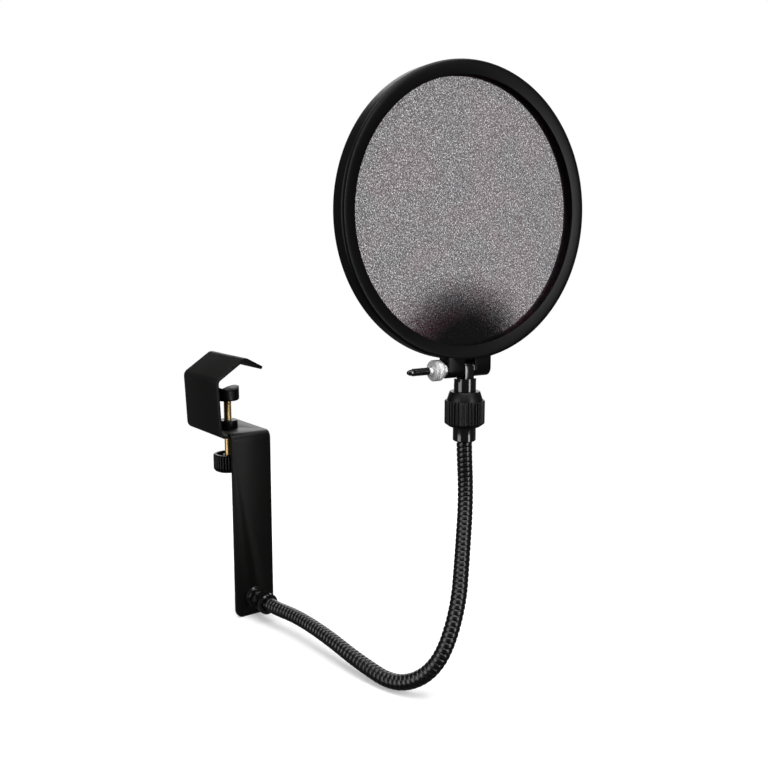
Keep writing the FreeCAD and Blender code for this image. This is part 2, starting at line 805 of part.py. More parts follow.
def screens():
    """Two discs of nylon mesh on the faces of a flat ring, all seated on the hoop's rear lip."""
    radius = D["hoop_diameter"] / 2 - D["hoop_wall"] - 2 * RUNNING_FIT
    setback = D["screen_setback"]
    gauge = D["screen_gauge"]
    ring_gauge = D["ring_gauge"]
    front = cylinder("front_screen", radius, gauge)
    hole = cylinder("ring_hole", D["ring_opening"] / 2, ring_gauge)
    ring = cut("screen_ring", cylinder("ring_blank", radius, ring_gauge), hole)
    rear = cylinder("rear_screen", radius, gauge)
    depths = (setback, setback + gauge, setback + gauge + ring_gauge)
    for piece, depth in zip((front, ring, rear), depths):
        back = depth.value - D["hoop_front"].value
        piece.Placement = head_place(0, back, D["hoop_rise"].value, (1, 0, 0), -90)
    return [front, ring, rear]


def pivot_hardware():
    """The tilt bolt, its plain washers in the gap, and the steel washer and knurled nut outside."""
    ear_face = D["ear_gap"] / 2 + D["ear_width"]
    radius = D["bolt_diameter"] / 2
    hold = radius + RUNNING_FIT
    hole = hold + 0.1
    head = D["bolt_head"]
    head_out = D["bolt_head_out"]
    span = ear_face * 2 + D["bolt_reach"] + head_out
    tip = radius * 1.4
    shank = turned("bolt_shank", [
        (0, head), (radius, head), (radius, span - tip), (radius * 0.85, span - tip / 2),
        (radius / 2, span - tip / 7), (0, span),
    ])
    bolt = fuse("pivot_bolt", [hexagon("bolt_head", D["bolt_flats"], head), shank])
    bolt.Placement = head_place((ear_face + head_out).value, 0, 0, (0, 1, 0), -90)

    washers = []
    for side, name in ((1, "friction_washer_right"), (-1, "friction_washer_left")):
        disc = cylinder(name + "_disc", D["friction_washer"] / 2, D["friction_gauge"])
        ring = cut(name, disc, cylinder(name + "_hole", hole, D["friction_gauge"]))
        inner = (D["ear_gap"] / 2 - D["friction_gauge"]).value
        ring.Placement = Placement(Vector(inner * side, 0, 0), Rotation(ALONG_Y, 90 * side))
        washers.append(ring)
    pair = doc.addObject("Part::Compound", "friction_washers")
    pair.Links = washers
    pair.Placement = head_place(0, 0, 0)

    slack = Size(0.02)
    rim = D["washer_diameter"] / 2
    edge = D["washer_edge"]
    far = slack + D["washer_gauge"]
    washer = turned("steel_washer", [
        (hole, slack), (rim - edge, slack), (rim, slack + edge), (rim, far - edge), (rim - edge, far),
        (hole, far),
    ])
    knurl = D["tilt_nut_diameter"] / 2
    collar_radius = D["tilt_nut_neck"] / 2
    boss = D["tilt_nut_boss"] / 2
    low = D["tilt_nut_low"]
    high = D["tilt_nut_high"]
    end = D["tilt_nut_end"]
    edge = D["tilt_nut_edge"]
    nut = turned("tilt_nut", [
        (hold, far + slack), (collar_radius, far + slack), (collar_radius, low), (knurl - edge, low),
        (knurl, low + edge), (knurl, high - edge), (knurl - edge, high), (boss, high),
        (boss, end - edge / 2), (boss - edge / 2, end), (hold, end),
    ])
    flutes(nut, "tilt_nut_flutes", TILT_NUT_RIBS, D["tilt_nut_flute"], knurl + D["tilt_nut_flute"] / 8)
    for piece in (washer, nut):
        piece.Placement = head_place(-ear_face.value, 0, 0, (0, 1, 0), -90)
    return [bolt, pair, washer, nut]


def finish(pieces):
    """Stops if anything failed, and otherwise writes one file for each piece."""
    doc.recompute()
    failed = [o.Name for o in doc.Objects if "Invalid" in o.State or "Error" in o.State]
    if failed:
        raise ValueError("failed objects: " + ", ".join(failed))
    for piece in pieces:
        if piece.Shape.isNull() or not piece.Shape.isValid():
            raise ValueError("bad shape: " + piece.Label)
    os.makedirs("parts", exist_ok=True)
    for piece in pieces:
        piece.Shape.exportStep("parts/" + piece.Label + ".step")
        box = piece.Shape.BoundBox
        print("%-18s %d solids %9.1f mm3  x %7.2f %7.2f  y %7.2f %7.2f  z %7.2f %7.2f" % (
            piece.Label, len(piece.Shape.Solids), piece.Shape.Volume,
            box.XMin, box.XMax, box.YMin, box.YMax, box.ZMin, box.ZMax))


finish([bracket()] + clamp() + foot() + neck() + collar() + [hoop()] + screens() + pivot_hardware())
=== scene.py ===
import json
import math

import bmesh
import bpy
from mathutils import Matrix, Vector


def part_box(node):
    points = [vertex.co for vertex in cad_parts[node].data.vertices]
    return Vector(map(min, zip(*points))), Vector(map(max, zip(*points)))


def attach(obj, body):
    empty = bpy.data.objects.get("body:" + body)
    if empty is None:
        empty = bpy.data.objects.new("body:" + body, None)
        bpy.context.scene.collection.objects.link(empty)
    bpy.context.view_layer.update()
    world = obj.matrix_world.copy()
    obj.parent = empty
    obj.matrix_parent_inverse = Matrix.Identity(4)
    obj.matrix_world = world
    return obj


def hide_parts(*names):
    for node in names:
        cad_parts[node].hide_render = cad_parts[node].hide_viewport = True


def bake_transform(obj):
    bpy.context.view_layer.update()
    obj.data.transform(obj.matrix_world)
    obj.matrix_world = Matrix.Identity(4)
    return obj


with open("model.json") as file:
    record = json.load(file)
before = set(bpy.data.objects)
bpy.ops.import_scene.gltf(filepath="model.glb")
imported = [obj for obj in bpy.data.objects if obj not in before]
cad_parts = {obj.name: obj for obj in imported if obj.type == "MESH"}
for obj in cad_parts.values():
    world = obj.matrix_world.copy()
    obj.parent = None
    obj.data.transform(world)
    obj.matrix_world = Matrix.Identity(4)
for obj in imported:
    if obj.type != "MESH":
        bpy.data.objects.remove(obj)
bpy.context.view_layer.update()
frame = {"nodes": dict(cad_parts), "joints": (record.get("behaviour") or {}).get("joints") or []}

nodes = frame["nodes"]
MM = 0.001

# The studio: a pale paper floor that runs out into a white surround, and four soft boxes. Those
# at the left and right give every black bar two upright highlights and leave it dark between them.
# One is above, and one behind shows the back of the black pieces.


def linear(colour):
    """An sRGB hex colour as linear RGBA."""
    parts = [int(colour[i:i + 2], 16) / 255 for i in (1, 3, 5)]
    return [c / 12.92 if c <= 0.04045 else ((c + 0.055) / 1.055) ** 2.4 for c in parts] + [1.0]


def add_node(tree, kind, settings=(), links=()):
    """Adds a node. A setting is one of its properties or a socket's own value; a link feeds a socket."""
    node = tree.nodes.new(kind)
    for key, value in dict(settings).items():
        if isinstance(key, str) and key in node.bl_rna.properties:
            setattr(node, key, value)
        else:
            node.inputs[key].default_value = value
    for key, socket in dict(links).items():
        tree.links.new(socket, node.inputs[key])
    return node


def new_material(name):
    """An empty material, its node tree, and the Object coordinates that its patterns read."""
    material = bpy.data.materials.new(name)
    material.use_nodes = True
    material.node_tree.nodes.clear()
    coordinates = add_node(material.node_tree, "ShaderNodeTexCoord").outputs["Object"]
    return material, material.node_tree, coordinates


def surface(tree, shader):
    add_node(tree, "ShaderNodeOutputMaterial", {}, {"Surface": shader.outputs[0]})


def set_material(piece, material):
    piece.data.materials.clear()
    piece.data.materials.append(material)


SUBJECT = Vector((0.04, -0.10, 0.0))
PAPER_RADIUS = 4.0
SURROUND_RADIUS = 6.0
SHADOWS_FADE_FROM = 0.18
SHADOWS_GONE_BY = 0.6
FLOOR_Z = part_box("clamp_bracket")[0].z
paper, tree, place = new_material("studio_paper")
lit = add_node(tree, "ShaderNodeBsdfDiffuse", {"Color": linear("#e6e6e6")})
glow = add_node(tree, "ShaderNodeEmission", {"Color": linear("#ffffff"), "Strength": 0.22})
near = add_node(tree, "ShaderNodeAddShader", {}, {0: lit.outputs[0], 1: glow.outputs[0]})
far = add_node(tree, "ShaderNodeEmission", {"Color": linear("#ffffff"), "Strength": 1.0})
away = add_node(tree, "ShaderNodeVectorMath", {"operation": "DISTANCE", 1: (SUBJECT.x, SUBJECT.y, FLOOR_Z)},
                {0: place})
fade = add_node(tree, "ShaderNodeMapRange", {
    "interpolation_type": "SMOOTHSTEP", "From Min": SHADOWS_FADE_FROM, "From Max": SHADOWS_GONE_BY},
    {"Value": away.outputs["Value"]})
surface(tree, add_node(tree, "ShaderNodeMixShader", {}, {
    0: fade.outputs[0], 1: near.outputs[0], 2: far.outputs[0]}))
bpy.ops.mesh.primitive_circle_add(vertices=96, radius=PAPER_RADIUS, fill_type="NGON")
floor = bpy.context.object
floor.data.transform(Matrix.Translation((0, 0, FLOOR_Z)))
floor.name = "studio_floor"
set_material(floor, paper)
floor.visible_diffuse = False
floor.visible_glossy = False

sky, tree, _ = new_material("studio_surround")
surface(tree, add_node(tree, "ShaderNodeEmission", {"Color": linear("#ffffff"), "Strength": 1.0}))
bpy.ops.mesh.primitive_uv_sphere_add(segments=48, ring_count=24, radius=SURROUND_RADIUS)
surround = bpy.context.object
surround.name = "studio_surround"
set_material(surround, sky)
surround.visible_diffuse = False
surround.visible_glossy = False
surround.visible_shadow = False

world = bpy.data.worlds.new("studio_air")
world.use_nodes = True
world.node_tree.nodes["Background"].inputs["Color"].default_value = linear("#ffffff")
world.node_tree.nodes["Background"].inputs["Strength"].default_value = 0.1
bpy.context.scene.world = world
bpy.context.scene.view_settings.view_transform = "Standard"


def soft_box(name, direction, distance, size, radiance):
    """A rectangular soft box that faces the subject. Its power follows from its radiance and area."""
    lamp = bpy.data.lights.new(name, "AREA")
    lamp.shape = "RECTANGLE"
    lamp.size, lamp.size_y = size
    lamp.energy = radiance * math.pi * size[0] * size[1]
    box = bpy.data.objects.new(name, lamp)
    bpy.context.scene.collection.objects.link(box)
    away = Vector(direction).normalized()
    box.location = SUBJECT + away * distance
    box.rotation_euler = away.to_track_quat("Z", "Y").to_euler()


soft_box("left_box", (-0.99, 0.02, 0.12), 1.2, (0.75, 1.3), 4.0)
soft_box("right_box", (0.17, -0.98, 0.12), 1.2, (0.3, 1.3), 9.0)
soft_box("top_box", (-0.05, -0.15, 1.0), 1.4, (1.6, 1.6), 4.2)
soft_box("back_box", (0.55, 0.75, 0.3), 1.3, (0.9, 1.2), 2.2)

# The camera stands in front and to the left of the clamp, and looks slightly down. It takes in the
# whole object, with a margin of the white surround on every side.
AIM = Vector((0.1096, -0.0184, -0.0149))
VIEW_AZIMUTH = math.radians(-36.05)
VIEW_ELEVATION = math.radians(8.87)
VIEW_DISTANCE = 0.62
camera = bpy.data.objects.new("camera", bpy.data.cameras.new("camera"))
bpy.context.scene.collection.objects.link(camera)
camera.data.lens = 42.19
camera.data.sensor_width = 36.0
towards = Vector((
    math.sin(VIEW_AZIMUTH) * math.cos(VIEW_ELEVATION),
    -math.cos(VIEW_AZIMUTH) * math.cos(VIEW_ELEVATION),
    math.sin(VIEW_ELEVATION),
))
camera.location = AIM + towards * VIEW_DISTANCE
camera.rotation_euler = towards.to_track_quat("Z", "Y").to_euler()
bpy.context.scene.camera = camera

# The clamp bracket: one strip of 2 mm mild steel, punched, folded four times and powder coated.
# The baked powder flows round the edges, so they are slightly rounded, and leaves a fine satin grain.
# The grain is drawn about twice as coarse as real powder, so that it shows.

COATED_EDGE = 0.22
POWDER_GRAIN = 0.45
POWDER_DRIFT = 30


def smooth_by_angle(bm, degrees=35):
    """Smooth faces, with the edges sharper than the limit kept crisp."""
    for face in bm.faces:
        face.smooth = True
    for edge in bm.edges:
        edge.smooth = len(edge.link_faces) == 2 and edge.calc_face_angle() < math.radians(degrees)


def round_corners(bm, width, degrees=35, segments=2):
    """Bevels the edges sharper than the limit by a width in millimetres."""
    sharp = [e for e in bm.edges if len(e.link_faces) == 2 and e.calc_face_angle() > math.radians(degrees)]
    bmesh.ops.bevel(bm, geom=sharp, offset=width * MM, offset_type="OFFSET", affect="EDGES",
                    segments=segments, profile=0.5, material=-1, clamp_overlap=True)


def add_piece(name, bm, material, body, slot, *stands_for):
    """Makes a finished piece from a bmesh: it rides on a body and stands for CAD nodes."""
    smooth_by_angle(bm)
    mesh = bpy.data.meshes.new(name)
    bm.to_mesh(mesh)
    bm.free()
    mesh.materials.append(material)
    piece = bpy.data.objects.new(name, mesh)
    bpy.context.scene.collection.objects.link(piece)
    if body:
        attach(piece, body)
    if stands_for:
        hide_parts(*stands_for)
    return piece


def copy_of(node):
    """A merged copy of a CAD node's mesh, with its flat faces made whole."""
    bm = bmesh.new()
    bm.from_mesh(nodes[node].data)
    bmesh.ops.remove_doubles(bm, verts=bm.verts, dist=0.002 * MM)
    bmesh.ops.dissolve_limit(bm, angle_limit=math.radians(0.3), verts=bm.verts, edges=bm.edges)
    return bm


powder_coat, tree, place = new_material("powder_coated_steel")
grain = add_node(tree, "ShaderNodeTexNoise", {"Scale": 1 / (POWDER_GRAIN * MM), "Detail": 3.0},
                 {"Vector": place})
drift = add_node(tree, "ShaderNodeTexNoise", {"Scale": 1 / (POWDER_DRIFT * MM), "Detail": 2.0},
                 {"Vector": place})
sheen = add_node(tree, "ShaderNodeMapRange", {"To Min": 0.42, "To Max": 0.5}, {"Value": drift.outputs[0]})
speckle = add_node(tree, "ShaderNodeValToRGB", {}, {"Fac": grain.outputs[0]})
speckle.color_ramp.elements[0].color = linear("#070606")
speckle.color_ramp.elements[1].color = linear("#0c0b0a")
dimple = add_node(tree, "ShaderNodeBump", {"Strength": 0.35, "Distance": 0.03 * MM},
                  {"Height": grain.outputs[0]})
surface(tree, add_node(tree, "ShaderNodeBsdfPrincipled", {"Specular IOR Level": 0.16}, {
    "Base Color": speckle.outputs[0], "Roughness": sheen.outputs[0], "Normal": dimple.outputs[0]}))

bracket = copy_of("clamp_bracket")
round_corners(bracket, COATED_EDGE)
add_piece("clamp_bracket_coated", bracket, powder_coat, "root", "powder_coat", "clamp_bracket")

# The clamp screw: a brass rod with a rolled M5 thread. Bare brass is a pale gold metal, bright along
# one side, with a faint drift of tone where it has been handled.


def turn(profile, steps=64, closed=False):
    """Spins a profile of (radius, height) in millimetres about Z. A closed profile is a ring."""
    bm = bmesh.new()
    points = [bm.verts.new((r * MM, 0, z * MM)) for r, z in profile]
    pairs = list(zip(points, points[1:]))
    if closed:
        pairs.append((points[-1], points[0]))
    edges = [bm.edges.new(pair) for pair in pairs]
    bmesh.ops.spin(bm, geom=points + edges, axis=(0, 0, 1), cent=(0, 0, 0), steps=steps,
                   angle=2 * math.pi, use_merge=True)
    bmesh.ops.remove_doubles(bm, verts=bm.verts, dist=0.001 * MM)
    bmesh.ops.recalc_face_normals(bm, faces=bm.faces)
    return bm


def stations(low, high, step):
    """Evenly spaced heights from low to high, about a step apart."""
    count = max(1, round((high - low) / step))
    return [low + (high - low) * i / count for i in range(count + 1)]


def push_in(bm, depth, low, high):
    """Moves points between two heights towards Z by depth(angle, height), all in millimetres."""
    for point in bm.verts:
        radius, height = point.co.xy.length / MM, point.co.z / MM
        if low - 1e-4 <= height <= high + 1e-4 and radius > 1e-3:
            point.co.xy *= 1 - depth(math.atan2(point.co.y, point.co.x), height, radius) / radius


def thread(pitch, deep, radius):
    """A right-hand thread with a rounded crest, on the points near one radius."""
    def depth(angle, height, at):
        phase = (height / pitch - angle / (2 * math.pi)) % 1
        return deep * (0.5 + 0.5 * math.cos(2 * math.pi * phase)) if abs(at - radius) < 0.05 else 0
    return depth


def set_down(bm, matrix):
    bmesh.ops.transform(bm, matrix=matrix, verts=bm.verts)
    return bm


def raised(height):
    return Matrix.Translation((0, 0, height * MM))


brass, tree, place = new_material("bare_brass")
stain = add_node(tree, "ShaderNodeTexNoise", {"Scale": 1 / (4 * MM), "Detail": 2.0}, {"Vector": place})
tone = add_node(tree, "ShaderNodeValToRGB", {}, {"Fac": stain.outputs[0]})
tone.color_ramp.elements[0].color = linear("#d9b36c")
tone.color_ramp.elements[1].color = linear("#f6dca6")
surface(tree, add_node(tree, "ShaderNodeBsdfPrincipled", {"Metallic": 1.0, "Roughness": 0.3},
                       {"Base Color": tone.outputs[0]}))

SCREW_RADIUS = 2.5
SCREW_PITCH = 0.8
SCREW_THREAD_DEPTH = 0.2
SCREW_TAPER = 0.5
screw_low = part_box("clamp_screw")[0].z / MM
screw_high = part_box("clamp_screw")[1].z / MM
rod = [(0, screw_low)] + [(SCREW_RADIUS, z) for z in stations(screw_low, screw_high - SCREW_TAPER, 0.1)]
rod += [(SCREW_RADIUS - SCREW_TAPER, screw_high), (0, screw_high)]
screw = turn(rod, 32)
push_in(screw, thread(SCREW_PITCH, SCREW_THREAD_DEPTH, SCREW_RADIUS), screw_low + 1, screw_high - 1)
add_piece("clamp_screw_threaded", screw, brass, "screw", "brass", "clamp_screw")

# The black mouldings on the clamp: knob, shelf bush and jaw pad. Glass-filled nylon from a spark
# eroded mould, so it has a dull, very finely pitted skin that is a little shinier on worn edges.

nylon, tree, place = new_material("moulded_nylon")
pits = add_node(tree, "ShaderNodeTexNoise", {"Scale": 1 / (0.25 * MM), "Detail": 2.0}, {"Vector": place})
wear = add_node(tree, "ShaderNodeTexNoise", {"Scale": 1 / (4 * MM), "Detail": 3.0}, {"Vector": place})
gloss = add_node(tree, "ShaderNodeMapRange", {"To Min": 0.3, "To Max": 0.48}, {"Value": wear.outputs[0]})
pitted = add_node(tree, "ShaderNodeBump", {"Strength": 0.25, "Distance": 0.02 * MM},
                  {"Height": pits.outputs[0]})
surface(tree, add_node(tree, "ShaderNodeBsdfPrincipled", {
    "Base Color": linear("#050505"), "Specular IOR Level": 0.2},
    {"Roughness": gloss.outputs[0], "Normal": pitted.outputs[0]}))


def ribs(count, deep, inner):
    """Round-topped ribs along Z on the points outside one radius."""
    def depth(angle, height, at):
        wave = abs(math.sin(count * angle / 2))
        return deep * (1 - wave ** 0.5) if at > inner else 0
    return depth


KNOB_RADIUS = 9.8
KNOB_RIBS = 30
KNOB_RIM = 2.2
KNOB_DISH = 2.6
KNOB_HUB = 4.0
knob_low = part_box("clamp_knob")[0].z / MM
knob_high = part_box("clamp_knob")[1].z / MM
knob_profile = [(0, knob_low), (KNOB_RADIUS - KNOB_RIM, knob_low), (KNOB_RADIUS - 0.9, knob_low + 0.6)]
knob_profile += [(KNOB_RADIUS, z) for z in stations(knob_low + 2.0, knob_high - 0.7, 1.5)]
knob_profile += [
    (KNOB_RADIUS - 0.7, knob_high), (KNOB_RADIUS - KNOB_RIM, knob_high),
    (KNOB_RADIUS - KNOB_RIM - 0.4, knob_high - KNOB_DISH), (KNOB_HUB, knob_high - KNOB_DISH),
    (KNOB_HUB, knob_high - 0.6), (0, knob_high - 0.6),
]
knob = turn(knob_profile, 240)
push_in(knob, ribs(KNOB_RIBS, 0.75, KNOB_RADIUS - 0.95), knob_low, knob_high)
round_corners(knob, 0.18, degrees=50)
add_piece("clamp_knob_moulded", knob, nylon, "screw", "moulded_black", "clamp_knob")

for node, body, slot in (("shelf_bush", "root", "moulded_black"), ("jaw_pad", "jaw", "pad_black")):
    moulding = copy_of(node)
    round_corners(moulding, 0.12, degrees=50)
    add_piece(node + "_moulded", moulding, nylon, body, slot, node)

# The foot of the gooseneck: a black-plated hex ferrule in front of the leg, and a zinc-plated hex
# screw and washer behind it. The plating is thin and bright, over turning marks.

black_plate, tree, place = new_material("black_plated_steel")
turning = add_node(tree, "ShaderNodeTexNoise", {"Scale": 1 / (0.6 * MM), "Detail": 2.0}, {"Vector": place})
polish = add_node(tree, "ShaderNodeMapRange", {"To Min": 0.10, "To Max": 0.2}, {"Value": turning.outputs[0]})
surface(tree, add_node(tree, "ShaderNodeBsdfPrincipled", {
    "Base Color": linear("#060606"), "Specular IOR Level": 0.6, "Coat Weight": 0.15, "Coat Roughness": 0.08},
    {"Roughness": polish.outputs[0]}))

zinc, tree, place = new_material("zinc_plated_steel")
bloom = add_node(tree, "ShaderNodeTexNoise", {"Scale": 1 / (2 * MM), "Detail": 4.0}, {"Vector": place})
cast = add_node(tree, "ShaderNodeValToRGB", {}, {"Fac": bloom.outputs[0]})
cast.color_ramp.elements[0].color = linear("#a9adb2")
cast.color_ramp.elements[1].color = linear("#d9dcdf")
surface(tree, add_node(tree, "ShaderNodeBsdfPrincipled", {"Metallic": 1.0, "Roughness": 0.28},
                       {"Base Color": cast.outputs[0]}))

for node, material, slot in (("foot_ferrule", black_plate, "blackened_steel"),
                             ("foot_screw", zinc, "zinc_steel"), ("foot_washer", zinc, "zinc_steel")):
    fitting = copy_of(node)
    round_corners(fitting, 0.15, degrees=50)
    add_piece(node + "_plated", fitting, material, "root", slot, node)

# The gooseneck: a round steel wire wound over a wedge-shaped one, 8.4 mm across, lacquered black.
# Each turn stands out as a rounded band with a narrow groove between it and the next.

NECK_RADIUS = 4.2
NECK_PITCH = 2.8
NECK_GROOVE = 0.5
NECK_GROOVE_SHARPNESS = 5
NECK_RINGS = 8
NECK_STEPS = 40
NECK_ROUTE = [
    (4, -28.4, -141), (4, -46, -141), (8.5, -69, -140.5), (9.5, -101, -141.5), (10.5, -132, -145.5),
    (15.5, -160.5, -149.5), (27, -178.5, -136), (40.5, -178.5, -108), (54, -166, -82),
    (66, -154.5, -56), (63.4, -155.3, -28), (63.4, -155.3, -18.1),
]


def smooth_route(points, resolution=24):
    """Points in metres along a NURBS line, as Blender works it out."""
    line = bpy.data.curves.new("neck_route", "CURVE")
    line.dimensions = "3D"
    line.resolution_u = resolution
    spline = line.splines.new("NURBS")
    spline.points.add(len(points) - 1)
    for point, place_mm in zip(spline.points, points):
        point.co = [c * MM for c in place_mm] + [1.0]
    spline.order_u = 3
    spline.use_endpoint_u = True
    holder = bpy.data.objects.new("neck_route", line)
    bpy.context.scene.collection.objects.link(holder)
    bpy.context.view_layer.update()
    ready = holder.evaluated_get(bpy.context.evaluated_depsgraph_get())
    mesh = bpy.data.meshes.new_from_object(ready)
    found = [v.co.copy() for v in mesh.vertices]
    bpy.data.objects.remove(holder)
    bpy.data.curves.remove(line)
    bpy.data.meshes.remove(mesh)
    return found


def frames_along(points):
    """For each point: how far along it is, and a frame that turns as little as it can."""
    frames = []
    travelled = 0.0
    ahead = (points[1] - points[0]).normalized()
    side = ahead.orthogonal().normalized()
    for i, point in enumerate(points):
        if i:
            travelled += (point - points[i - 1]).length
            here = (points[min(i + 1, len(points) - 1)] - points[i - 1]).normalized()
            side.rotate(ahead.rotation_difference(here))
            ahead = here
        frames.append((travelled, point, ahead.copy(), side.copy()))
    return frames


neck_frames = frames_along(smooth_route(NECK_ROUTE))
neck_length = neck_frames[-1][0]


def place_on_route(distance):
    """The point, heading and side of the route at a distance from its start, in metres."""
    for low, high in zip(neck_frames, neck_frames[1:]):
        if distance <= high[0]:
            break
    share = (distance - low[0]) / (high[0] - low[0])
    heading = low[2].lerp(high[2], share).normalized()
    side = low[3].lerp(high[3], share)
    side = (side - heading * side.dot(heading)).normalized()
    return low[1].lerp(high[1], share), heading, side


def wound_neck(low, high):
    """One stretch of the wound tube: turned straight, grooved, and then laid along the route."""
    rings = [(NECK_RADIUS, z) for z in stations(low, high, NECK_PITCH / NECK_RINGS)]
    bm = turn([(0, low)] + rings + [(0, high)], NECK_STEPS)

    def groove(angle, height, at):
        phase = (height / NECK_PITCH - angle / (2 * math.pi)) % 1
        return NECK_GROOVE * abs(2 * phase - 1) ** NECK_GROOVE_SHARPNESS if at > NECK_RADIUS - 0.01 else 0

    push_in(bm, groove, low, high)
    laid = {}
    for point in bm.verts:
        height = point.co.z
        if height not in laid:
            laid[height] = place_on_route(height)
        centre, heading, side = laid[height]
        point.co = centre + side * point.co.x + heading.cross(side) * point.co.y
    bmesh.ops.recalc_face_normals(bm, faces=bm.faces)
    return bm


lacquer, tree, place = new_material("black_lacquered_winding")
scuffs = add_node(tree, "ShaderNodeTexNoise", {"Scale": 1 / (1.2 * MM), "Detail": 3.0}, {"Vector": place})
rubbed = add_node(tree, "ShaderNodeMapRange", {"To Min": 0.22, "To Max": 0.36}, {"Value": scuffs.outputs[0]})
surface(tree, add_node(tree, "ShaderNodeBsdfPrincipled", {
    "Base Color": linear("#040404"), "Specular IOR Level": 0.42}, {"Roughness": rubbed.outputs[0]}))

bend_joints = [j for j in frame["joints"] if j["name"].startswith("neck_bend_")]
route_corners = [Vector(p) * MM for p in NECK_ROUTE[1:-1]]


def distance_to(corner):
    """How far along the route it passes nearest to a corner, in millimetres."""
    return min(neck_frames, key=lambda f: (f[1] - corner).length)[0] / MM


cuts = [0.0] + [distance_to(c) for c in route_corners[1:-1]] + [neck_length / MM]
for number, joint in enumerate(bend_joints):
    stretch = wound_neck(cuts[number], cuts[number + 1])
    stood_for = ["neck_link_%d" % (number + 1)]
    if number == 0:
        stood_for.append("neck_link_0")
    winding = add_piece("neck_winding_%d" % (number + 1), stretch, lacquer, None, "neck_jacket", *stood_for)
    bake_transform(winding)

# The collar: a black-plated sleeve at the neck's end, a nylon collet and a ribbed moulded nut that
# squeezes it on the stem. The stem is a turned bar with two flats, plated a glossy black.

COLLAR = Matrix.Translation((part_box("neck_ferrule")[0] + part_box("neck_ferrule")[1]) / 2)
COLLAR.translation.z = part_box("neck_ferrule")[0].z
for node, body in (("neck_ferrule", "neck_end"), ("pivot_stem", "stem")):
    bar = copy_of(node)
    round_corners(bar, 0.1, degrees=50)
    add_piece(node + "_plated", bar, black_plate, body, "blackened_steel", node)
set_material(nodes["collet"], nylon)

# Radii and heights up the collar's axis, from the bottom of the nut round to its bore.
NUT_RADIUS = 10.8
NUT_RIBS = 36
NUT_LOW = 8.0
NUT_FOOT = 8.35
NUT_BORE = 7.1
RIBS_LOW = 9.8
RIBS_HIGH = 22.1
CONE_TOP = 27.0
collar_profile = [(NUT_BORE, NUT_LOW), (NUT_FOOT, NUT_LOW)]
collar_profile += [(NUT_FOOT + 2.45 * k / 3, NUT_LOW + 1.8 * k / 3) for k in range(1, 4)]
collar_profile += [(NUT_RADIUS, z) for z in stations(RIBS_LOW + 0.4, RIBS_HIGH - 0.4, 2.4)]
collar_profile += [
    (NUT_RADIUS - 0.35, RIBS_HIGH), (9.75, RIBS_HIGH), (9.7, RIBS_HIGH + 0.1), (8.2, CONE_TOP - 0.2),
    (8.0, CONE_TOP), (6.0, CONE_TOP), (6.0, 24.0), (6.25, 23.9), (NUT_BORE, 20.9),
]
nut = turn(collar_profile, 240, closed=True)
push_in(nut, ribs(NUT_RIBS, 0.9, 8.4), 8.1, RIBS_HIGH + 0.05)
round_corners(nut, 0.15, degrees=50)
set_down(nut, COLLAR)
add_piece("collar_nut_moulded", nut, nylon, "collar_nut", "moulded_black", "collar_nut")

# The hoop: a 6 inch ring and its two ears, injection moulded in black ABS, which has a dull skin
# and a softer gloss than plated metal. Its front rim has a rolled outer edge and a flat lip that
# runs in over the screens.

HOOP_RADIUS = 76.2
HOOP_WALL = 3.2
HOOP_DEPTH = 9.6
HOOP_FRONT = 4.7
LIP_OPENING = 68.4
LIP_BACK = 1.8
REAR_LIP = 3.0
RIM_ROLL = 1.7
EAR_SUNK = 2.2
EAR_BORDER = 1.5
HOOP_RISE = 80.85
SCREEN_SETBACK = 6.2
SCREEN_GAUGE = 0.3
RING_GAUGE = 1.6
EAR_GAP = 6.3
EAR_WIDTH = 10.5
EAR_DEPTH = 9.2
HEAD_TURN = math.radians(-5.3)
tilt_joint = [j for j in frame["joints"] if j["name"] == "filter_tilt"][0]
HEAD = Matrix.Translation(tilt_joint["pos_m"]) @ Matrix.Rotation(HEAD_TURN, 4, "Z")
HOOP = HEAD @ Matrix.Translation((0, -HOOP_FRONT * MM, HOOP_RISE * MM))
HOOP = HOOP @ Matrix.Rotation(-math.pi / 2, 4, "X")

abs_plastic, tree, place = new_material("moulded_abs")
skin = add_node(tree, "ShaderNodeTexNoise", {"Scale": 1 / (0.5 * MM), "Detail": 2.0}, {"Vector": place})
flow = add_node(tree, "ShaderNodeTexNoise", {"Scale": 1 / (18 * MM), "Detail": 2.0}, {"Vector": place})
satin = add_node(tree, "ShaderNodeMapRange", {"To Min": 0.3, "To Max": 0.4}, {"Value": flow.outputs[0]})
texture = add_node(tree, "ShaderNodeBump", {"Strength": 0.2, "Distance": 0.02 * MM},
                   {"Height": skin.outputs[0]})
surface(tree, add_node(tree, "ShaderNodeBsdfPrincipled", {
    "Base Color": linear("#060606"), "Specular IOR Level": 0.12},
    {"Roughness": satin.outputs[0], "Normal": texture.outputs[0]}))


def block(low, high):
    """A box between two corners in millimetres."""
    bm = bmesh.new()
    size = [(b - a) * MM for a, b in zip(low, high)]
    middle = [(a + b) / 2 * MM for a, b in zip(low, high)]
    bmesh.ops.create_cube(bm, size=1.0, matrix=Matrix.Translation(middle) @ Matrix.Diagonal(size + [1.0]))
    return bm


